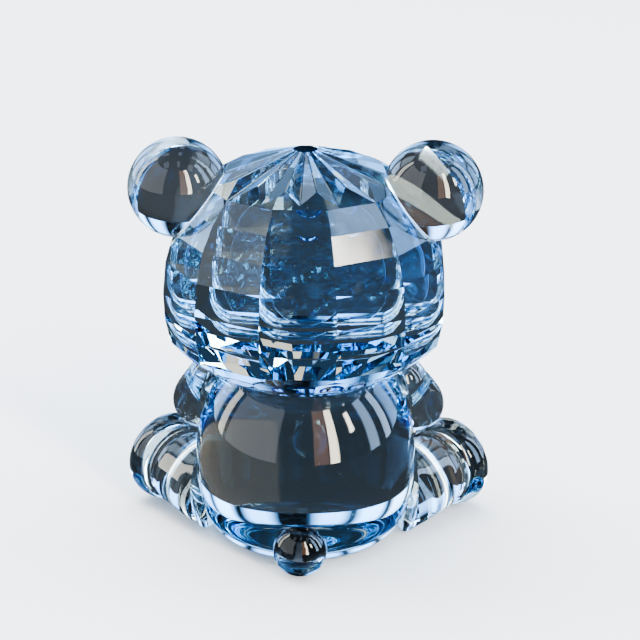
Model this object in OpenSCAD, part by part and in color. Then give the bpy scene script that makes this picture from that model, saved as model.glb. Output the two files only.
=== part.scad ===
// Seated glass bear figurine: ground and polished glass pieces, bonded on flat seats.
// The bear faces -Y and stands on the XY plane; X = 0 is its plane of symmetry.

/* [Body] */
// Widest radius of the body
body_r = 19.1; // [18.6:0.1:19.4]
// Height of the widest ring of the body
body_mid_z = 15; // [14:0.5:16]
// Radius of the flat base that the bear sits on
base_r = 11.6; // [10:0.1:13]
// Height of the flat top of the body, where the head sits
neck_z = 30.2; // [29.8:0.1:30.6]

/* [Head] */
// Half width of the head across its flats, at the girdle
girdle_r = 23.7; // [23.4:0.1:24.1]
// Height of the head from its bottom rim to the tip of the crown
head_h = 39.9; // [39.5:0.1:40.4]
// Number of side facets round the head
head_sides = 12; // [12:4:16]
// Number of pleats in the crown
crown_pleats = 16; // [12:4:20]
// Radius of the small flat table on top of the crown
table_r = 1.9; // [1.2:0.1:2.6]
// Depth of the flat face in front of the head's centre line
face_y = 19.4; // [19:0.1:19.6]

/* [Ears] */
// Radius of the ears
ear_r = 8.5; // [8.1:0.1:8.8]
// Distance of each ear's centre from the plane of symmetry
ear_x = 21.5; // [21.2:0.1:21.8]
// Height of the ears' centres
ear_z = 62.6; // [62.2:0.1:63]
// Slope of the ear seats, above level
ear_tilt = 37.5; // [35:0.5:40]

/* [Face] */
// Half width of the muzzle
muzzle_wide = 9; // [8:0.1:9.2]
// Height of the muzzle's centre
muzzle_z = 41.6; // [41.5:0.1:42]
// Radius of each eye
eye_r = 1.75; // [1.3:0.05:1.9]
// Distance of each eye from the plane of symmetry
eye_x = 6.5; // [5:0.1:6.6]
// Height of the eyes
eye_z = 52.6; // [51.4:0.1:53]

/* [Arms] */
// Radius of the upper arm
arm_r = 4.6; // [4.2:0.1:4.7]

/* [Legs] */
// Radius of the leg
leg_r = 7; // [6.7:0.1:7.1]
// Radius of the foot
foot_r = 8; // [7.8:0.1:8.2]
// Length of the leg from the hip to the widest ring of the foot
leg_l = 13.2; // [12.8:0.1:13.6]
// Number of small facets round the edge of the sole
sole_facets = 16; // [8:4:20]

/* [Tail] */
// Radius of the tail
tail_r = 4.6; // [4.2:0.1:4.8]

/* [Joints] */
// Thickness of the cured adhesive in each joint
bond_t = 0.15; // [0.1:0.01:0.2]

/* [Hidden] */

big = 60;                         // larger than any piece, for half spaces
$fn = 96;

// Body: a superellipse below the widest ring, an ellipse above it
body_top_h = 21.5;                // half height of the upper ellipse, which the neck cuts off
body_low_power = 2.5;
body_steps = 14;

// Head: rings of [half width across the flats, height above the rim]
head_z = neck_z + bond_t;
rim = [13.5, 0];
chin = [18, 2.5];
chin_end = [25, 7.6];             // the chin's small facets run on into the larger ones
throat = [17.5, 0];
jaw = [22.6, 6.6];
cheek = [23.5, 10.8];
girdle = [girdle_r, 15.5];
temple = [23.2, 21];
brow = [21.8, 26];
forehead = [19.6, 30.3];
crown = [16.6, 33.8];
crown_end = [5, 40.56];           // the crown's tier runs on into the pleats
jaw_sides = 24;                   // the lowest tiers have smaller facets
ridge_slope = 0.304;              // fall of the crown's ridges and valleys, per unit of radius
valley_slope = 0.358;
crown_r = 26;                     // the pleated cone runs out past the head

// Ears: each is a ball with a flat front, cut off at its seat
ear_seat = 4.5;                   // from the ear's centre to the seat
ear_front = 4.2;                  // from the ear's centre to its flat front
ear_turn = 14;                    // the ears' flat fronts turn outwards

// Face
muzzle_tall = 7;                // half height
muzzle_corner = 4.8;
muzzle_d = 4.2;
muzzle_skin = 0.05;
muzzle_layers = [[0, muzzle_skin], [0.4, 2.5], [0.9, 3.55], [1.8, muzzle_d]];  // [inset, depth]
nose_z = 44.6;
nose_r = 2.2;
nose_h = 1.4;
eye_h = 1.1;

// Arms: three balls in a row, shoulder, elbow and hand
shoulder = [16.4, -4.6, 26.2];
elbow = [20.2, -7.7, 20];
hand = [17.6, -16.4, 18];
hand_r = 4.5;
arm_seat_turn = -28;              // from +X towards the front
arm_seat_tilt = 16;
arm_seat_at = [17.05, 22.5];      // distance from the body's axis, and height

// Legs: turned logs lying on the table, spread outwards
leg_turn = -51.5;                 // from +X towards the front
leg_tilt = 4.5;
hip = [17.1, -1.8, 6.95];
hip_back = 9;                     // the log starts inside the body, and its seat cuts it off
ankle_r = 6.5;
foot_back = 3.6;                  // from the widest ring of the foot back to the ankle
sole_front = 2.5;                 // and forward to the sole
sole_r = 6.3;
leg_seat_turn = -17;
leg_seat_tilt = -10;
leg_seat_at = [17.2, 8];

// Tail
tail_z = tail_r + 0.1;
tail_tilt = -24;                  // the tail's seat faces down a little
tail_seat = 1.35;                 // from the tail's centre to its seat
tail_y = 18.9;

ice = [0.72, 0.87, 1, 0.6];
deep_ice = [0.3, 0.55, 0.9, 0.8];
resin = [0.9, 0.95, 1, 0.6];

function body_radius(z) = z < body_mid_z
    ? base_r + (body_r - base_r) * pow(1 - pow(1 - z / body_mid_z, body_low_power), 1 / body_low_power)
    : body_r * sqrt(1 - pow((z - body_mid_z) / body_top_h, 2));

// Heights from the base to the neck, closer together where the outline turns fastest
body_heights = concat(
    [for (i = [0 : body_steps]) body_mid_z * (1 - cos(90 * i / body_steps))],
    [for (i = [1 : body_steps]) body_mid_z + (neck_z - body_mid_z) * sin(90 * i / body_steps)]
);

function at_turn(spot, turn) = [spot[0] * cos(turn), spot[0] * sin(turn), spot[1]];

// Points its child's +X along a seat's normal, at the given spot
module seated(spot, turn, tilt) {
    translate(spot) rotate([0, -tilt, turn]) children();
}

// Everything on the outer side of a seat, starting at a distance from it
module beyond(start = 0) {
    translate([start, -big, -big]) cube([2 * big, 2 * big, 2 * big]);
}

// Everything on the inner side of a seat, up to a distance from it
module within(end = 0) {
    translate([end - 2 * big, -big, -big]) cube([2 * big, 2 * big, 2 * big]);
}

// A disc of adhesive lying on a seat
module film(r) {
    rotate([0, 90, 0]) cylinder(r = r, h = bond_t);
}

module on_right() {
    mirror([1, 0, 0]) children();
}

// A faceted solid of n sides through rings of [half width across the flats, height]
module faceted(n, rings) {
    last = len(rings) - 1;
    corners = [for (ring = rings, i = [0 : n - 1])
        let (r = ring[0] / cos(180 / n), a = (i + 0.5) * 360 / n)
        [r * cos(a), r * sin(a), ring[1]]];
    walls = [for (k = [0 : last - 1], i = [0 : n - 1])
        let (j = (i + 1) % n)
        [k * n + i, (k + 1) * n + i, (k + 1) * n + j, k * n + j]];
    polyhedron(corners, concat(
        walls,
        [[for (i = [0 : n - 1]) i]],
        [[for (i = [n - 1 : -1 : 0]) last * n + i]]
    ));
}

// The pleated cone that shapes the crown, with its tip at height h
module pleated_cone(h) {
    n = 2 * crown_pleats;
    tip = [0, 0, h];
    upper = [for (i = [0 : n - 1])
        let (a = i * 360 / n + 90, fall = i % 2 == 0 ? valley_slope : ridge_slope)
        [crown_r * cos(a), crown_r * sin(a), h - fall * crown_r]];
    lower = [for (p = upper) [p[0], p[1], -1]];
    polyhedron(concat([tip], upper, lower), concat(
        [for (i = [0 : n - 1]) let (j = (i + 1) % n) [0, 1 + j, 1 + i]],
        [for (i = [0 : n - 1]) let (j = (i + 1) % n) [1 + i, 1 + j, 1 + n + j, 1 + n + i]],
        [[for (i = [0 : n - 1]) 1 + n + i]]
    ));
}

module body() {
    color(ice)
    difference() {
        rotate_extrude() polygon(concat(
            [[0, 0]],
            [for (z = body_heights) [body_radius(z), z]],
            [[0, neck_z]]
        ));
        arm_seat() beyond();
        on_right() arm_seat() beyond();
        leg_seat() beyond();
        on_right() leg_seat() beyond();
        tail_seat() beyond();
    }
}

module head() {
    color(ice)
    difference() {
        translate([0, 0, head_z])
        intersection() {
            faceted(head_sides, [
                throat, jaw, cheek, girdle, temple, brow, forehead, crown, crown_end
            ]);
            faceted(jaw_sides, [rim, chin, chin_end, [girdle_r + 6, head_h]]);
            pleated_cone(head_h);
            cylinder(r = big, h = head_h - table_r * valley_slope);
        }
        ear_seat() beyond();
        on_right() ear_seat() beyond();
        translate([-big, -2 * big - face_y, 0]) cube(2 * big);
    }
}

module ear_seat() {
    foot = [ear_x - ear_seat * cos(ear_tilt), 0, ear_z - ear_seat * sin(ear_tilt)];
    seated(foot, 0, ear_tilt) children();
}

module ear() {
    color(ice)
    difference() {
        translate([ear_x, 0, ear_z]) sphere(ear_r);
        ear_seat() within(bond_t);
        translate([ear_x, 0, ear_z]) rotate([0, 0, ear_turn - 90]) beyond(ear_front);
    }
}

module ear_bond() {
    color(resin) ear_seat() film(6);
}

module face_seat(x, z) {
    seated([x, -face_y, z], -90, 0) children();
}

// A cap of a ball, standing on its film of adhesive
module dome(r, h) {
    ball = (r * r + h * h) / (2 * h);
    difference() {
        translate([bond_t + h - ball, 0, 0]) sphere(ball);
        within(bond_t);
    }
}

// The muzzle is a rounded block whose edge slopes in to a flat front
module muzzle() {
    color(ice)
    face_seat(0, muzzle_z)
    rotate([0, 90, 0])
    hull()
    for (x = [-1, 1], y = [-1, 1], layer = muzzle_layers)
    translate([
        x * (muzzle_tall - muzzle_corner),
        y * (muzzle_wide - muzzle_corner),
        bond_t + layer[1] - muzzle_skin
    ])
    cylinder(r = muzzle_corner - layer[0], h = muzzle_skin, $fn = 64);
}

module muzzle_bond() {
    color(resin) face_seat(0, muzzle_z) film(muzzle_tall - 0.6);
}

// The nose stands on the muzzle's flat front
module nose_seat() {
    face_seat(0, nose_z) translate([bond_t + muzzle_d, 0, 0]) children();
}

module nose() {
    color(deep_ice) nose_seat() dome(nose_r, nose_h);
}

module nose_bond() {
    color(resin) nose_seat() film(nose_r - 0.3);
}

module eye() {
    color(deep_ice) face_seat(eye_x, eye_z) dome(eye_r, eye_h);
}

module eye_bond() {
    color(resin) face_seat(eye_x, eye_z) film(eye_r - 0.3);
}

module arm_seat() {
    seated(at_turn(arm_seat_at, arm_seat_turn), arm_seat_turn, arm_seat_tilt) children();
}

module arm() {
    color(ice)
    difference() {
        union() {
            hull() {
                translate(shoulder) sphere(arm_r, $fn = 40);
                translate(elbow) sphere(arm_r + 0.2, $fn = 40);
            }
            hull() {
                translate(elbow) sphere(arm_r + 0.2, $fn = 40);
                translate(hand) sphere(hand_r, $fn = 40);
            }
        }
        arm_seat() within(bond_t);
    }
}

module arm_bond() {
    color(resin) arm_seat() film(3);
}

module leg_seat() {
    seated(at_turn(leg_seat_at, leg_seat_turn), leg_seat_turn, leg_seat_tilt) children();
}

// The turned outline of a leg, from the hip along its axis
function leg_outline() = concat(
    [[0, -hip_back], [leg_r - 0.4, -hip_back], [leg_r, 0], [leg_r, leg_l - foot_back - 3]],
    [[ankle_r, leg_l - foot_back]],
    [for (a = [60 : -15 : 0]) [ankle_r + (foot_r - ankle_r) * cos(a), leg_l - foot_back * sin(a)]],
    [for (a = [15 : 15 : 45]) [sole_r + (foot_r - sole_r) * cos(a), leg_l + sole_front * sin(a)]],
    [[sole_r, leg_l + sole_front], [0, leg_l + sole_front]]
);

module leg() {
    sole_z = leg_l + sole_front;
    color(ice)
    difference() {
        intersection() {
            translate(hip) rotate([0, -leg_tilt, leg_turn]) rotate([0, 90, 0])
            intersection() {
                rotate_extrude() polygon(leg_outline());
                translate([0, 0, sole_z])
                faceted(sole_facets, [[foot_r + 24, -20], [foot_r + 24, -19.5], [sole_r, 0]]);
            }
            translate([-big, -big, 0]) cube(2 * big);
        }
        leg_seat() within(bond_t);
    }
}

module leg_bond() {
    color(resin) leg_seat() film(4.2);
}

module tail_seat() {
    spot = [0, tail_y - tail_seat * cos(tail_tilt), tail_z - tail_seat * sin(tail_tilt)];
    seated(spot, 90, tail_tilt) children();
}

module tail() {
    color(ice)
    difference() {
        translate([0, tail_y, tail_z]) sphere(tail_r);
        tail_seat() within(bond_t);
    }
}

module tail_bond() {
    color(resin) tail_seat() film(1.7);
}

module neck_bond() {
    color(resin) translate([0, 0, neck_z]) cylinder(r = 11.5, h = bond_t);
}

body();
head();
ear();  // ear_left
on_right() ear();  // ear_right
muzzle();
nose();
eye();  // eye_left
on_right() eye();  // eye_right
arm();  // arm_left
on_right() arm();  // arm_right
leg();  // leg_left
on_right() leg();  // leg_right
tail();
neck_bond();
ear_bond();  // ear_bond_left
on_right() ear_bond();  // ear_bond_right
muzzle_bond();
nose_bond();
eye_bond();  // eye_bond_left
on_right() eye_bond();  // eye_bond_right
arm_bond();  // arm_bond_left
on_right() arm_bond();  // arm_bond_right
leg_bond();  // leg_bond_left
on_right() leg_bond();  // leg_bond_right
tail_bond();
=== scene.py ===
# Seated bear of cut and polished glass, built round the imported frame.
# Sizes in the dictionaries are in millimetres; every mesh is scaled to metres when it is finished.
import math

import bmesh
import bpy
from mathutils import Matrix, Vector


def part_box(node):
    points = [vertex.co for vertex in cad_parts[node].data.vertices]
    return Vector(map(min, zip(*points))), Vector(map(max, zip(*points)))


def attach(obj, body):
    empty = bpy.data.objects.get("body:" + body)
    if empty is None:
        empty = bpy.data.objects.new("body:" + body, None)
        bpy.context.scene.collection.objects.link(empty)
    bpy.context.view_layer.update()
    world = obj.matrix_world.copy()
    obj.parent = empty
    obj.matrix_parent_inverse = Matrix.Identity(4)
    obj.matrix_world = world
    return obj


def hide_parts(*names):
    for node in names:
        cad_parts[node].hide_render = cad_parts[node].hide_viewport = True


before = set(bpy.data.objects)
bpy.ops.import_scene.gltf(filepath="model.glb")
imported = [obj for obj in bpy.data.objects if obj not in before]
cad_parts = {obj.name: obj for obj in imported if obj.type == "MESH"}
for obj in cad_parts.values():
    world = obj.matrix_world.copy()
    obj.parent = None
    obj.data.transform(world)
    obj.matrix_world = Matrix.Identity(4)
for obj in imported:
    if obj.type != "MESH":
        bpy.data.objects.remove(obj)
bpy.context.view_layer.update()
mm = 0.001
up = Vector((0, 0, 1))
print("frame loaded")

# the camera stands behind the bear and above it, looking down
shot = {
    "behind": 384,      # level distance from the bear's middle line
    "height": 182.6,
    "turn": 2.6,        # round towards the bear's right
    "pitch": 20.5,
    "slide": 2.5,       # along the camera's own right
    "lens": 134.4,
    "nearest": 10,      # nothing closer than this is drawn
}


def makeCamera():
    turn, pitch = math.radians(shot["turn"]), math.radians(shot["pitch"])
    level = Vector((math.sin(turn), -math.cos(turn), 0))
    ahead = level * math.cos(pitch) - up * math.sin(pitch)
    right = ahead.cross(up).normalized()
    data = bpy.data.cameras.new("camera")
    data.lens = shot["lens"]
    data.clip_start = shot["nearest"] * mm
    camera = bpy.data.objects.new("camera", data)
    bpy.context.collection.objects.link(camera)
    camera.location = (up * shot["height"] - level * shot["behind"] + right * shot["slide"]) * mm
    camera.rotation_mode = "QUATERNION"
    camera.rotation_quaternion = ahead.to_track_quat("-Z", "Y")
    bpy.context.scene.camera = camera


makeCamera()
print("camera placed")

iceFinish = {
    "tint": (0.97, 0.99, 1.0),
    "ior": 1.52,
    "roughness": 0.0,
    "absorb": (0.10, 0.66, 0.97),   # the colour that deep glass takes on
    "density": 13,                  # per metre of glass
    "waveSize": 7,                  # hand polishing leaves the faces slightly wavy
    "waveHeight": 0.012,
    "dustSpacing": 2.6,
    "dustSize": 0.05,               # share of the spacing
    "dustCore": 0.6,                # share of a speck that is fully dull
    "dustRoughness": 0.35,
}
deepFinish = dict(iceFinish, absorb=(0.02, 0.3, 0.85), density=480, waveHeight=0.004)
resinFinish = dict(iceFinish, absorb=(0.1, 0.5, 1.0), density=60, ior=1.48, waveSize=1.5, waveHeight=0.01)


def addNode(tree, kind, values=None, **settings):
    node = tree.nodes.new(kind)
    for name, value in settings.items():
        setattr(node, name, value)
    for name, value in (values or {}).items():
        node.inputs[name].default_value = value
    return node


def polishedGlass(name, finish):
    mat = bpy.data.materials.new(name)
    mat.use_nodes = True
    tree = mat.node_tree
    link = tree.links.new
    shader = tree.nodes["Principled BSDF"]
    shader.inputs["Base Color"].default_value = (*finish["tint"], 1)
    shader.inputs["Transmission Weight"].default_value = 1
    shader.inputs["IOR"].default_value = finish["ior"]
    depth = addNode(tree, "ShaderNodeVolumeAbsorption", {
        "Color": (*finish["absorb"], 1), "Density": finish["density"]})
    link(depth.outputs[0], tree.nodes["Material Output"].inputs["Volume"])
    place = addNode(tree, "ShaderNodeTexCoord")
    # the slow waves that hand polishing leaves
    wave = addNode(tree, "ShaderNodeTexNoise", {"Scale": 1 / (finish["waveSize"] * mm), "Detail": 1})
    bump = addNode(tree, "ShaderNodeBump", {"Strength": 1, "Distance": finish["waveHeight"] * mm})
    link(place.outputs["Object"], wave.inputs["Vector"])
    link(wave.outputs["Fac"], bump.inputs["Height"])
    link(bump.outputs[0], shader.inputs["Normal"])
    # specks of dust and tiny knocks, dull on the polish
    speck = addNode(tree, "ShaderNodeTexVoronoi", {"Scale": 1 / (finish["dustSpacing"] * mm)})
    dull = addNode(tree, "ShaderNodeMapRange", {
        "From Min": finish["dustSize"], "From Max": finish["dustSize"] * finish["dustCore"],
        "To Min": finish["roughness"], "To Max": finish["dustRoughness"]})
    link(place.outputs["Object"], speck.inputs["Vector"])
    link(speck.outputs["Distance"], dull.inputs["Value"])
    link(dull.outputs[0], shader.inputs["Roughness"])
    return mat


iceGlass = polishedGlass("iceGlass", iceFinish)
deepGlass = polishedGlass("deepGlass", deepFinish)
clearResin = polishedGlass("clearResin", resinFinish)
print("finishes mixed")

# the glass maker's tools: a lathe, a grinding wheel and a polisher
onAxis = 1e-6       # a smaller radius than this is a point on the axis
wheelTouch = 1e-5   # how near a corner must lie to count as on the cut
poleGap = 2         # a turned ball's last ring stops this many degrees short of its pole
bondGap = 0.15      # the room that adhesive takes between two pieces


def lathe(outline, sides):
    # spins an outline of (radius, height) round Z
    bm = bmesh.new()
    rings = []
    for radius, height in outline:
        count = sides if radius > onAxis else 1
        rings.append([bm.verts.new((
            radius * math.cos(math.tau * i / sides), radius * math.sin(math.tau * i / sides), height))
            for i in range(count)])
    for low, high in zip(rings, rings[1:]):
        for i in range(sides):
            j = (i + 1) % sides
            corners = [low[i % len(low)], low[j % len(low)], high[j % len(high)], high[i % len(high)]]
            corners = list(dict.fromkeys(corners))
            if len(corners) > 2:
                bm.faces.new(corners)
    return bm


def joinRings(bm, rings):
    # a skin of four-sided faces over rings with the same number of points
    for low, high in zip(rings, rings[1:]):
        for i in range(len(low)):
            j = (i + 1) % len(low)
            bm.faces.new((low[i], low[j], high[j], high[i]))


def direction(turn, tilt):
    # a unit vector: turn from +X towards +Y, tilt up from level
    turn, tilt = math.radians(turn), math.radians(tilt)
    return Vector((math.cos(turn) * math.cos(tilt), math.sin(turn) * math.cos(tilt), math.sin(tilt)))


def arc(centre, radius, start, end, steps):
    # points of (radius, height) along an arc, in degrees up from the outward direction
    points = []
    for i in range(steps + 1):
        a = math.radians(start + (end - start) * i / steps)
        points.append((centre[0] + radius * math.cos(a), centre[1] + radius * math.sin(a)))
    return points


def smooth(t):
    # eases from 0 to 1
    return t * t * (3 - 2 * t)


def grind(bm, spot, outward):
    # grinds a flat: all that lies beyond it goes, and the cut is closed with one face
    everything = bm.verts[:] + bm.edges[:] + bm.faces[:]
    cut = bmesh.ops.bisect_plane(
        bm, geom=everything, dist=wheelTouch, plane_co=spot, plane_no=outward, clear_outer=True)
    rim = [part for part in cut["geom_cut"] if isinstance(part, bmesh.types.BMEdge)]
    if len(rim) > 2:
        bmesh.ops.contextual_create(bm, geom=rim)


def grindTier(bm, count, low, high):
    # a ring of flats through two (half width, height) points
    (lowWide, lowUp), (highWide, highUp) = low, high
    tilt = math.degrees(math.atan2(lowWide - highWide, highUp - lowUp))
    for i in range(count):
        turn = 360 * i / count
        grind(bm, direction(turn, 0) * lowWide + up * lowUp, direction(turn, tilt))


def rounded(bm, width, strips, least=2):
    # polishes the edges that turn by more than the least angle, each into a few narrow strips
    edges = [e for e in bm.edges if e.calc_face_angle(0) > math.radians(least)]
    bmesh.ops.bevel(
        bm, geom=edges, offset=width, offset_type="OFFSET", segments=strips, profile=0.5,
        affect="EDGES", clamp_overlap=True)


def moved(bm, matrix):
    bmesh.ops.transform(bm, matrix=matrix, verts=bm.verts)
    return bm


def aimed(spot, outward):
    # turns +Z to the outward direction and moves the origin to the spot
    return Matrix.Translation(spot) @ Vector(outward).to_track_quat("Z", "Y").to_matrix().to_4x4()


def seatOf(bond, centre):
    # the adhesive film marks the seat: its middle, and its thin direction away from the centre
    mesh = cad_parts[bond].data
    thin = max(mesh.polygons, key=lambda p: p.area).normal.copy()
    low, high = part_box(bond)
    middle = (low + high) / 2 / mm
    if thin.dot(middle - centre) < 0:
        thin = -thin
    return middle, thin


def finished(bm, node, mat, crease=12):
    # a polished piece: smooth where it curves, crisp where it turns by more than the crease angle
    bmesh.ops.recalc_face_normals(bm, faces=bm.faces)
    for face in bm.faces:
        face.smooth = True
    for edge in bm.edges:
        edge.smooth = edge.is_manifold and edge.calc_face_angle(0) < math.radians(crease)
    moved(bm, Matrix.Scale(mm, 4))
    mesh = bpy.data.meshes.new("polished_" + node)
    bm.to_mesh(mesh)
    bm.free()
    piece = bpy.data.objects.new("polished_" + node, mesh)
    bpy.context.collection.objects.link(piece)
    mesh.materials.append(mat)
    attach(piece, "root")
    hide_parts(node)


def finishedPair(bm, node, mat):
    # the piece as built is the bear's left one; the right one is its mirror image
    other = moved(bm.copy(), Matrix.Scale(-1, 4, Vector((1, 0, 0))))
    finished(bm, node + "_left", mat)
    finished(other, node + "_right", mat)


body = {
    "radius": 19.1, "widestAt": 15, "baseRadius": 11.6, "neckAt": 30.2,
    "upperHalf": 21.5,      # half height of the upper ellipse
    "lowerPower": 2.5,      # fullness of the curve below the widest ring
    "ease": 0.25,           # height over which the rims are eased
    "easeUnder": 0.4,       # shares of the ease: taken off the base,
    "easeSide": 0.1,        # off the side half way up it,
    "easeNeck": 0.5,        # and off the neck's rim
    "sides": 144, "steps": 40,
}


def bodyRadius(z):
    if z < body["widestAt"]:
        power = body["lowerPower"]
        share = (1 - (1 - z / body["widestAt"]) ** power) ** (1 / power)
        return body["baseRadius"] + (body["radius"] - body["baseRadius"]) * share
    return body["radius"] * math.sqrt(1 - ((z - body["widestAt"]) / body["upperHalf"]) ** 2)


def makeBody():
    # turned, then a flat is ground for each limb
    steps, mid, neck, ease = body["steps"], body["widestAt"], body["neckAt"], body["ease"]
    heights = [mid * (1 - math.cos(math.pi / 2 * i / steps)) for i in range(1, steps + 1)]
    heights += [mid + (neck - mid) * math.sin(math.pi / 2 * i / steps) for i in range(1, steps)]
    heights = [z for z in heights if ease < z < neck - ease]
    outline = [(0, 0), (body["baseRadius"] - ease * body["easeUnder"], 0)]
    outline += [(bodyRadius(ease) - ease * body["easeSide"], ease * 0.5)]
    outline += [(bodyRadius(z), z) for z in heights]
    outline += [(bodyRadius(neck - ease), neck - ease)]
    outline += [(bodyRadius(neck) - ease * body["easeNeck"], neck), (0, neck)]
    bm = lathe(outline, body["sides"])
    for bond in ("arm_bond_left", "arm_bond_right", "leg_bond_left", "leg_bond_right", "tail_bond"):
        middle, outward = seatOf(bond, up * mid)
        grind(bm, middle - outward * bondGap / 2, outward)
    finished(bm, "body", iceGlass)


makeBody()
print("body turned and its seats ground")

# tiers are rings of flats through these (half width, height) points above the head's foot
head = {
    "sides": 12, "jawSides": 24, "pleats": 16,
    "chinTiers": [(13.5, 0), (18, 2.5), (25, 7.6)],
    "tiers": [
        (17.5, 0), (22.6, 6.6), (23.5, 10.8), (23.7, 15.5), (23.2, 21), (21.8, 26), (19.6, 30.3),
        (16.6, 33.8), (5, 40.56)],
    "widestAt": 15.5,
    "reach": 30,                # half width of the block it is ground from
    "height": 39.9, "tableRadius": 1.9,
    "ridgeFall": 0.304, "valleyFall": 0.358,    # per unit of radius
    "coneFoot": 2,              # the crown's cutter ends this far below the head's foot
    "faceDepth": 19.4,
    "roundEdge": 0.45, "edgeStrips": 4,         # polishing rounds the edges between the flats
    "roundPleat": 0.14, "pleatStrips": 2,
    "lastEdge": 0.06, "lastAngle": 14,          # and takes a hair off the edges ground last
    "crease": 0.5,
}
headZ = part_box("head")[0].z / mm
headMiddle = up * (headZ + head["widestAt"])
carving = {             # mends the mesh where two solids met
    "merge": 1e-3,
    "flatWithin": 0.2,  # degrees
}


def convexHead():
    reach = head["reach"]
    bm = bmesh.new()
    bmesh.ops.create_cube(bm, size=2 * reach)
    moved(bm, Matrix.Translation((0, 0, reach)))
    for low, high in zip(head["tiers"], head["tiers"][1:]):
        grindTier(bm, head["sides"], low, high)
    for low, high in zip(head["chinTiers"], head["chinTiers"][1:]):
        grindTier(bm, head["jawSides"], low, high)
    grind(bm, Vector((0, -head["faceDepth"], 0)), Vector((0, -1, 0)))
    rounded(bm, head["roundEdge"], head["edgeStrips"])
    # the small round table on the tip
    grind(bm, up * (head["height"] - head["tableRadius"] * head["valleyFall"]), up)
    return bm


def pleatedCone():
    # a star of ridges and valleys falling from the tip, closed below
    count = 2 * head["pleats"]
    reach, top = head["reach"], head["height"]
    bm = bmesh.new()
    tip = bm.verts.new((0, 0, top))
    upper, lower = [], []
    for i in range(count):
        fall = head["valleyFall"] if i % 2 == 0 else head["ridgeFall"]
        spot = direction(90 + 360 * i / count, 0) * reach
        upper.append(bm.verts.new(spot + up * (top - fall * reach)))
        lower.append(bm.verts.new(spot - up * head["coneFoot"]))
    for i in range(count):
        j = (i + 1) % count
        bm.faces.new((tip, upper[i], upper[j]))
        bm.faces.new((upper[i], lower[i], lower[j], upper[j]))
    bm.faces.new(lower)
    bmesh.ops.recalc_face_normals(bm, faces=bm.faces)
    rounded(bm, head["roundPleat"], head["pleatStrips"])
    return bm


def meshObject(bm, name):
    bmesh.ops.recalc_face_normals(bm, faces=bm.faces)
    mesh = bpy.data.meshes.new(name)
    bm.to_mesh(mesh)
    bm.free()
    thing = bpy.data.objects.new(name, mesh)
    bpy.context.collection.objects.link(thing)
    return thing


def carved(bm, cutterBm):
    # keeps what the two solids share, as one clean mesh
    blank, cutter = meshObject(bm, "blank"), meshObject(cutterBm, "cutter")
    share = blank.modifiers.new("share", "BOOLEAN")
    share.operation = "INTERSECT"
    share.solver = "EXACT"
    share.object = cutter
    graph = bpy.context.evaluated_depsgraph_get()
    mesh = bpy.data.meshes.new_from_object(blank.evaluated_get(graph))
    out = bmesh.new()
    out.from_mesh(mesh)
    for thing in (blank, cutter):
        bpy.data.objects.remove(thing)
    bpy.data.meshes.remove(mesh)
    bmesh.ops.remove_doubles(out, verts=out.verts, dist=carving["merge"])
    bmesh.ops.dissolve_limit(
        out, angle_limit=math.radians(carving["flatWithin"]), verts=out.verts, edges=out.edges)
    return out


def makeHead():
    bm = carved(convexHead(), pleatedCone())
    moved(bm, Matrix.Translation((0, 0, headZ)))
    for bond in ("ear_bond_left", "ear_bond_right"):
        spot, outward = seatOf(bond, headMiddle)
        grind(bm, spot - outward * bondGap / 2, outward)
    rounded(bm, head["lastEdge"], 1, least=head["lastAngle"])
    finished(bm, "head", iceGlass, crease=head["crease"])


makeHead()
print("head ground, crown pleated")

# each ear is a ball with a flat front, ground off at its seat on the head
ear = {
    "radius": 8.5, "centre": (21.5, 0, 62.6), "front": 4.2, "turnOut": 14,
    "ease": 0.35, "easeSteps": 8,       # the flat front's rim is rounded
    "sides": 112, "steps": 56,
}


def makeEars():
    # turned round the axis of the flat front
    radius, front, ease = ear["radius"], ear["front"], ear["ease"]
    rimTilt = math.degrees(math.asin((front - ease) / (radius - ease)))
    rimAt = ((radius - ease) * math.cos(math.radians(rimTilt)), front - ease)
    outline = [(0, -radius)] + arc((0, 0), radius, poleGap - 90, rimTilt, ear["steps"])
    outline += arc(rimAt, ease, rimTilt, 90, ear["easeSteps"])[1:]
    outline += [(0, front)]
    bm = lathe(outline, ear["sides"])
    moved(bm, aimed(Vector(ear["centre"]), direction(ear["turnOut"] - 90, 0)))
    spot, outward = seatOf("ear_bond_left", headMiddle)
    grind(bm, spot + outward * bondGap / 2, -outward)
    finishedPair(bm, "ear", iceGlass)


makeEars()

# the face has a rounded block for the muzzle, and low domes for the nose and eyes
face = {
    "muzzleHalf": (9, 7), "muzzleAt": 41.6, "muzzleCorner": 4.8, "muzzleDepth": 4.2, "muzzleInset": 1.8,
    "muzzleSides": 96, "muzzleSteps": 14,
    "noseRadius": 2.2, "noseHeight": 1.4, "noseAt": 44.6, "noseSides": 64, "noseSteps": 24,
    "eyeRadius": 1.75, "eyeHeight": 1.1, "eyeAt": (6.5, 52.6), "eyeSides": 56, "eyeSteps": 20,
    "ease": 0.12, "easeShare": 0.3,     # the rim at the foot, and how far its middle is drawn in
}


def dome(radius, height, sides, steps):
    # a cap of a ball on a flat, its rim eased
    ball = (radius ** 2 + height ** 2) / (2 * height)
    start = math.degrees(math.asin((ball - height) / ball))
    ease, drawn = face["ease"], face["ease"] * face["easeShare"]
    outline = [(0, 0), (radius - ease, 0), (radius - drawn, drawn)]
    outline += [p for p in arc((0, height - ball), ball, start, 90, steps) if p[1] > ease][:-1]
    outline += [(0, height)]
    return lathe(outline, sides)


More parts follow.
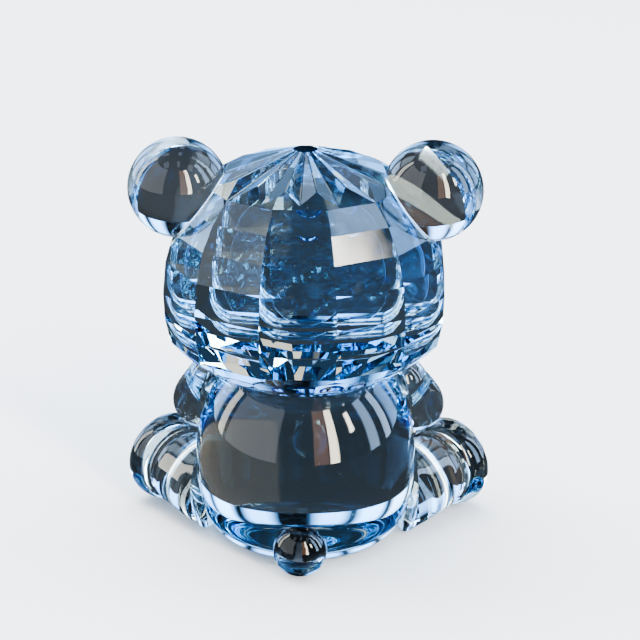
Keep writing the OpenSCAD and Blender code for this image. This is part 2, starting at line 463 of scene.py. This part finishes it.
def roundedBlock():
    # layers of one rounded oblong, drawn in as they rise to the flat front
    (wide, tall), corner, count = face["muzzleHalf"], face["muzzleCorner"], face["muzzleSides"]
    depth, inset, ease = face["muzzleDepth"], face["muzzleInset"], face["ease"]
    layers = [(ease, 0), (ease * face["easeShare"], ease * face["easeShare"])]
    for i in range(face["muzzleSteps"] + 1):
        a = math.pi / 2 * i / face["muzzleSteps"]
        layers.append((inset * (1 - math.cos(a)), ease + (depth - ease) * math.sin(a)))
    bm = bmesh.new()
    rings = []
    for drawn, height in layers:
        ring = []
        for i in range(count):
            ray = direction(360 * (i + 0.5) / count, 0)
            middle = Vector((
                math.copysign(wide - corner, ray.x), math.copysign(tall - corner, ray.y), height))
            ring.append(bm.verts.new(middle + ray * (corner - drawn)))
        rings.append(ring)
    joinRings(bm, rings)
    bm.faces.new(rings[0])
    bm.faces.new(rings[-1])
    return bm


def makeFace():
    front = Vector((0, -1, 0))
    flat = Vector((0, -head["faceDepth"] - bondGap, 0))
    bm = moved(roundedBlock(), aimed(flat + up * face["muzzleAt"], front))
    finished(bm, "muzzle", iceGlass)
    noseFoot = flat + front * (face["muzzleDepth"] + bondGap) + up * face["noseAt"]
    bm = dome(face["noseRadius"], face["noseHeight"], face["noseSides"], face["noseSteps"])
    finished(moved(bm, aimed(noseFoot, front)), "nose", deepGlass)
    eyeFoot = flat + Vector((face["eyeAt"][0], 0, face["eyeAt"][1]))
    bm = dome(face["eyeRadius"], face["eyeHeight"], face["eyeSides"], face["eyeSteps"])
    finishedPair(moved(bm, aimed(eyeFoot, front)), "eye", deepGlass)


makeFace()
print("ears and face made")

# each arm is a rod bent at the elbow, with a round shoulder and hand
arm = {
    "shoulder": (16.4, -4.6, 26.2), "elbow": (20.2, -7.7, 20), "hand": (17.6, -16.4, 18),
    "shoulderRadius": 4.6, "elbowRadius": 4.8, "handRadius": 4.5,
    "bend": 0.6,        # share of each half that curves
    "sides": 72, "shoulderSteps": 6, "bendSteps": 40, "handSteps": 8, "capSteps": 16,
}


def armPath():
    shoulder, elbow, hand = (Vector(arm[k]) for k in ("shoulder", "elbow", "hand"))
    start = elbow.lerp(shoulder, arm["bend"])
    end = elbow.lerp(hand, arm["bend"])
    path = [shoulder.lerp(start, i / arm["shoulderSteps"]) for i in range(arm["shoulderSteps"])]
    for i in range(arm["bendSteps"] + 1):
        t = i / arm["bendSteps"]
        path.append((1 - t) ** 2 * start + 2 * t * (1 - t) * elbow + t ** 2 * end)
    path += [end.lerp(hand, i / arm["handSteps"]) for i in range(1, arm["handSteps"] + 1)]
    return path


def armRadius(share):
    # share of the arm's length from the shoulder
    if share < 0.5:
        return arm["shoulderRadius"] + (arm["elbowRadius"] - arm["shoulderRadius"]) * smooth(share * 2)
    return arm["elbowRadius"] + (arm["handRadius"] - arm["elbowRadius"]) * smooth(share * 2 - 1)


def armStations():
    # (middle, direction along, direction across, radius) of each ring, carried along without twist
    path = armPath()
    lengths = [0]
    for a, b in zip(path, path[1:]):
        lengths.append(lengths[-1] + (b - a).length)
    stations = []
    across = up.copy()
    for i, middle in enumerate(path):
        along = (path[min(i + 1, len(path) - 1)] - path[max(i - 1, 0)]).normalized()
        across = (across - along * across.dot(along)).normalized()
        stations.append((middle, along, across.copy(), armRadius(lengths[i] / lengths[-1])))
    return stations


def capStations(station, way):
    # the half ball on an end: way is -1 before the shoulder, 1 past the hand; from its tip inwards
    middle, along, across, radius = station
    stations = []
    for k in range(1, arm["capSteps"]):
        a = math.pi / 2 * k / arm["capSteps"]
        stations.append((middle + along * way * radius * math.cos(a), along, across, radius * math.sin(a)))
    return stations


def makeArms():
    stations = armStations()
    first, last = stations[0], stations[-1]
    tips = [first[0] - first[1] * first[3], last[0] + last[1] * last[3]]
    stations = capStations(first, -1) + stations + capStations(last, 1)[::-1]
    sides = arm["sides"]
    bm = bmesh.new()
    rings = []
    for middle, along, across, radius in stations:
        beside = along.cross(across)
        ring = []
        for i in range(sides):
            a = math.tau * i / sides
            ring.append(bm.verts.new(middle + (across * math.cos(a) + beside * math.sin(a)) * radius))
        rings.append(ring)
    joinRings(bm, rings)
    for ring, tip in zip((rings[0], rings[-1]), tips):
        point = bm.verts.new(tip)
        for i in range(sides):
            bm.faces.new((ring[i], ring[(i + 1) % sides], point))
    middle, outward = seatOf("arm_bond_left", up * body["widestAt"])
    grind(bm, middle + outward * bondGap / 2, -outward)
    finishedPair(bm, "arm", iceGlass)


makeArms()
print("arms drawn and bent")

# each leg is a turned log with a wider foot and a scalloped rim round the sole
leg = {
    "radius": 7, "hipRadius": 6.6, "hipBack": 9, "ankleRadius": 6.5, "footRadius": 8, "soleRadius": 6.3,
    "length": 13.2, "footBack": 3.6, "soleFront": 2.5, "ankleRun": 3,
    "heelArc": 75, "toeArc": 60,        # degrees of the foot's rim behind and before its widest ring
    "hip": (17.1, -1.8, 6.95), "turn": -51.5, "tilt": 4.5,
    "scallops": 16, "scallopSlope": (25.7, 19.5),   # run out and run back of each small flat
    "sides": 128, "hipSteps": 12, "logSteps": 8, "ankleSteps": 10, "heelSteps": 24, "toeSteps": 16,
}


def legOutline():
    length, ankle, foot, sole = leg["length"], leg["ankleRadius"], leg["footRadius"], leg["soleRadius"]
    radius, hip, back = leg["radius"], leg["hipRadius"], leg["hipBack"]
    logEnd = length - leg["footBack"] - leg["ankleRun"]
    outline = [(0, -back)]
    for i in range(leg["hipSteps"] + 1):
        outline.append((hip + (radius - hip) * i / leg["hipSteps"], -back + back * i / leg["hipSteps"]))
    for i in range(1, leg["logSteps"] + 1):
        outline.append((radius, logEnd * i / leg["logSteps"]))
    for i in range(1, leg["ankleSteps"] + 1):
        t = i / leg["ankleSteps"]
        outline.append((ankle + (radius - ankle) * (1 - smooth(t)), logEnd + leg["ankleRun"] * t))
    for i in range(1, leg["heelSteps"] + 1):
        a = math.radians(leg["heelArc"] * (1 - i / leg["heelSteps"]))
        outline.append((ankle + (foot - ankle) * math.cos(a), length - leg["footBack"] * math.sin(a)))
    for i in range(1, leg["toeSteps"] + 1):
        a = math.radians(leg["toeArc"] * i / leg["toeSteps"])
        outline.append((sole + (foot - sole) * math.cos(a), length + leg["soleFront"] * math.sin(a)))
    soleAt = length + leg["soleFront"]
    return outline + [(sole, soleAt), (0, soleAt)]


def makeLegs():
    outline = legOutline()
    bm = lathe(outline, leg["sides"])
    sole, soleAt = outline[-2]
    out, back = leg["scallopSlope"]
    tilt = math.degrees(math.atan2(out, back))
    for i in range(leg["scallops"]):
        turn = 360 * i / leg["scallops"]
        grind(bm, direction(turn, 0) * sole + up * soleAt, direction(turn, tilt))
    moved(bm, aimed(Vector(leg["hip"]), direction(leg["turn"], leg["tilt"])))
    # the small flat that it rests on, then its seat on the body
    grind(bm, Vector((0, 0, 0)), -up)
    middle, outward = seatOf("leg_bond_left", up * body["widestAt"])
    grind(bm, middle + outward * bondGap / 2, -outward)
    finishedPair(bm, "leg", iceGlass)


makeLegs()
print("legs turned and scalloped")

tail = {
    "radius": 4.6, "centre": (0, 18.9, 4.7),
    "ease": 0.1,        # off the rim of its seat
    "sides": 88, "steps": 44,
}


def makeTail():
    # a ball turned on its own seat
    middle, outward = seatOf("tail_bond", up * body["widestAt"])
    radius = tail["radius"]
    seatDepth = (Vector(tail["centre"]) - (middle + outward * bondGap / 2)).dot(outward)
    start = -math.degrees(math.asin(seatDepth / radius))
    rim = arc((0, 0), radius, start, 90 - poleGap, tail["steps"])
    outline = [(0, rim[0][1]), (rim[0][0] - tail["ease"], rim[0][1])]
    outline += rim[1:] + [(0, radius)]
    bm = lathe(outline, tail["sides"])
    moved(bm, aimed(Vector(tail["centre"]), outward))
    finished(bm, "tail", iceGlass)


makeTail()
print("tail turned")

# adhesive films, thinner than the gap by a hair on each side, with a rounded edge
film = {
    "hair": 0.01, "sides": 72, "edgeSteps": 8, "crease": 40,
    "radius": {
        "neck_bond": 11.5, "ear_bond_left": 6, "ear_bond_right": 6, "muzzle_bond": 6.4, "nose_bond": 1.9,
        "eye_bond_left": 1.45, "eye_bond_right": 1.45, "arm_bond_left": 3, "arm_bond_right": 3,
        "leg_bond_left": 4.2, "leg_bond_right": 4.2, "tail_bond": 1.7,
    },
}


def makeFilms():
    half = bondGap / 2 - film["hair"]
    for bond, radius in film["radius"].items():
        middle, outward = seatOf(bond, up * body["widestAt"])
        edge = arc((radius - half, 0), half, -90, 90, film["edgeSteps"])
        bm = lathe([(0, -half)] + edge + [(0, half)], film["sides"])
        moved(bm, aimed(middle, outward))
        finished(bm, bond, clearResin, crease=film["crease"])


makeFilms()
print("joints filled")

# sizes and places of the studio's own things are in metres
studio = {
    "floorColour": (0.80, 0.81, 0.82), "floorRoughness": 0.7,
    "floorInGlass": (0.022, 0.021, 0.021),      # the floor as the glass sees it, for depth inside the bear
    "floorSize": 6,
    "airGap": 0.00003,                          # the floor lies a hair below the flat base
    "backdrop": (0.86, 0.87, 0.88),
    "softboxAt": (0.1, -0.1, 0.9), "softboxSize": 0.9, "softboxAimsAt": (0, 0, 0.035),
    "softboxPower": 17,
    "bounces": 40, "bouncesThroughGlass": 32, "bouncesOffGloss": 16,
    "look": "AgX - Medium High Contrast",
}


def makeFloor():
    bm = bmesh.new()
    bmesh.ops.create_grid(bm, x_segments=2, y_segments=2, size=studio["floorSize"] / 2)
    mesh = bpy.data.meshes.new("floor")
    bm.to_mesh(mesh)
    bm.free()
    floor = bpy.data.objects.new("floor", mesh)
    bpy.context.collection.objects.link(floor)
    floor.location.z = -studio["airGap"]
    mat = bpy.data.materials.new("paleFloor")
    mat.use_nodes = True
    tree = mat.node_tree
    shader = tree.nodes["Principled BSDF"]
    shader.inputs["Roughness"].default_value = studio["floorRoughness"]
    shader.inputs["Specular IOR Level"].default_value = 0
    path = addNode(tree, "ShaderNodeLightPath")
    pick = addNode(tree, "ShaderNodeMixRGB", {
        "Color1": (*studio["floorInGlass"], 1), "Color2": (*studio["floorColour"], 1)})
    tree.links.new(path.outputs["Is Camera Ray"], pick.inputs["Fac"])
    tree.links.new(pick.outputs[0], shader.inputs["Base Color"])
    mesh.materials.append(mat)


def makeSoftbox():
    # lights the floor and casts the soft shadow; the glass itself gathers the lamps in the sky
    data = bpy.data.lights.new("softbox", "AREA")
    data.shape = "RECTANGLE"
    data.size = data.size_y = studio["softboxSize"]
    data.energy = studio["softboxPower"]
    light = bpy.data.objects.new("softbox", data)
    bpy.context.collection.objects.link(light)
    light.location = studio["softboxAt"]
    light.rotation_mode = "QUATERNION"
    ahead = Vector(studio["softboxAimsAt"]) - Vector(studio["softboxAt"])
    light.rotation_quaternion = ahead.to_track_quat("-Z", "Y")
    light.visible_camera = False
    light.visible_glossy = False
    light.visible_transmission = False


# The sky holds narrow lamps on a dark ground, for the glass to gather. A lamp is (bearing, half width,
# colour), the first two as shares of a full turn from -Y towards +X. Each group has its soft edge, and is
# lit between two heights on a unit ball. The lights overhead are oblongs: (place, half width, strength).
sky = {
    "lampGroups": [
        (0.003, (-0.1, 0.80), [
            (0.215, 0.012, (9, 8.8, 8)), (0.333, 0.088, (1.6, 1.65, 1.7)), (0.556, 0.022, (2.6, 1.4, 0.8)),
            (0.593, 0.012, (36, 33, 26)), (0.725, 0.016, (4.6, 6.8, 10)), (0.785, 0.012, (6, 8.4, 12))]),
        (0.014, (-0.1, 0.42), [
            (0.035, 0.010, (1.6, 3.2, 6)), (0.09, 0.014, (2.2, 4.2, 7.4)), (0.155, 0.018, (4, 5.6, 8)),
            (0.835, 0.016, (2.6, 4.4, 7.6)), (0.895, 0.014, (2.6, 4.8, 8.4)),
            (0.955, 0.010, (1.6, 3.2, 6))]),
        (0.010, (0.47, 0.78), [
            (0.06, 0.030, (1.0, 1.6, 2.4)), (0.16, 0.024, (2.0, 2.6, 3.2)),
            (0.84, 0.030, (1.6, 2.3, 3.2)), (0.94, 0.026, (1.0, 1.6, 2.4))]),
        (0.0004, (0.34, 0.59), [(0.6612, 0.0085, (42, 40, 35))]),
    ],
    "edge": 0.003,
    "alongX": [(-0.5, 0.07, 1), (-0.08, 0.05, 1), (0.34, 0.09, 1)],
    "alongY": [(-0.55, 0.10, 1.5), (-0.16, 0.07, 1.7), (0.32, 0.12, 1.3)],
    "overheadColour": (0.8, 0.92, 1.15), "overheadFrom": 0.62,
    "ceiling": (0.05, 0.07, 0.10), "ceilingFrom": 0.60, "ceilingEdge": 0.05,
    "dark": (0.008, 0.008, 0.009),
}
white, black = (1, 1, 1), (0, 0, 0)


def worked(tree, operation, *values):
    # a number worked out from plain numbers and from other nodes' outputs
    node = addNode(tree, "ShaderNodeMath", operation=operation)
    for socket, value in zip(node.inputs, values):
        if isinstance(value, (int, float)):
            socket.default_value = value
        else:
            tree.links.new(value, socket)
    return node.outputs[0]


def ramp(tree, stops, source):
    # a ramp holds shares of its strongest value, which are scaled up after it
    peak = max(max(colour) for where, colour in stops)
    node = addNode(tree, "ShaderNodeValToRGB")
    marks = node.color_ramp.elements
    while len(marks) > 1:
        marks.remove(marks[-1])
    shades = [(where, (*[c / peak for c in colour], 1)) for where, colour in stops]
    marks[0].position, marks[0].color = shades[0]
    for where, colour in shades[1:]:
        marks.new(where).color = colour
    tree.links.new(source, node.inputs[0])
    scale = addNode(tree, "ShaderNodeVectorMath", operation="SCALE")
    scale.inputs["Scale"].default_value = peak
    tree.links.new(node.outputs[0], scale.inputs[0])
    return scale.outputs[0]


def bars(tree, items, edge, source):
    # bars of colour on black, each (middle, half width, colour)
    stops = [(0, black)]
    for where, half, colour in items:
        stops += [(where - half - edge, black), (where - half, colour)]
        stops += [(where + half, colour), (where + half + edge, black)]
    return ramp(tree, stops, source)


def band(tree, low, high, colour, edge, height):
    # one bar between two heights on the unit ball
    return bars(tree, [((low + high) / 4 + 0.5, (high - low) / 4, colour)], edge, height)


def blend(tree, kind, first, second):
    node = addNode(tree, "ShaderNodeMixRGB", {"Fac": 1}, blend_type=kind)
    tree.links.new(first, node.inputs["Color1"])
    tree.links.new(second, node.inputs["Color2"])
    return node.outputs[0]


def oblongs(tree, items, colour, source):
    # from places on the unit ball to the 0 to 1 that a ramp can hold
    shares = [((where + 1) / 2, half / 2, [c * power for c in colour]) for where, half, power in items]
    return bars(tree, shares, sky["edge"], source)


def skyLight(tree):
    place = addNode(tree, "ShaderNodeTexCoord")
    split = addNode(tree, "ShaderNodeSeparateXYZ")
    tree.links.new(place.outputs["Generated"], split.inputs[0])
    x, y, z = split.outputs
    turn = worked(tree, "ARCTAN2", x, worked(tree, "MULTIPLY", y, -1))
    bearing = worked(tree, "WRAP", worked(tree, "DIVIDE", turn, math.tau), 1, 0)
    xShare, yShare, height = (worked(tree, "MULTIPLY_ADD", part, 0.5, 0.5) for part in (x, y, z))
    across = oblongs(tree, sky["alongX"], white, xShare)
    along = oblongs(tree, sky["alongY"], sky["overheadColour"], yShare)
    above = band(tree, sky["overheadFrom"], 1, white, sky["edge"], height)
    light = blend(tree, "MULTIPLY", blend(tree, "MULTIPLY", across, along), above)
    ceiling = band(tree, sky["ceilingFrom"], 1, sky["ceiling"], sky["ceilingEdge"], height)
    light = blend(tree, "ADD", light, ceiling)
    for edge, (low, high), lamps in sky["lampGroups"]:
        level = band(tree, low, high, white, sky["edge"], height)
        lit = blend(tree, "MULTIPLY", bars(tree, lamps, edge, bearing), level)
        light = blend(tree, "ADD", light, lit)
    return blend(tree, "ADD", light, ramp(tree, [(0, sky["dark"])], height))


def makeSky():
    # the camera sees a plain pale backdrop, and only the glass sees the lamps
    world = bpy.data.worlds.new("studio")
    bpy.context.scene.world = world
    world.use_nodes = True
    tree = world.node_tree
    tree.nodes.clear()
    path = addNode(tree, "ShaderNodeLightPath")
    pick = addNode(tree, "ShaderNodeMixRGB", {"Color2": (*studio["backdrop"], 1)})
    tree.links.new(path.outputs["Is Camera Ray"], pick.inputs["Fac"])
    tree.links.new(skyLight(tree), pick.inputs["Color1"])
    background = addNode(tree, "ShaderNodeBackground")
    out = addNode(tree, "ShaderNodeOutputWorld")
    tree.links.new(pick.outputs[0], background.inputs[0])
    tree.links.new(background.outputs[0], out.inputs[0])


def setBounces():
    # light needs many bounces to find its way through so many pieces of glass
    scene = bpy.context.scene
    scene.cycles.max_bounces = studio["bounces"]
    scene.cycles.transmission_bounces = studio["bouncesThroughGlass"]
    scene.cycles.glossy_bounces = studio["bouncesOffGloss"]
    scene.view_settings.look = studio["look"]


makeFloor()
makeSoftbox()
makeSky()
setBounces()
print("studio lit")
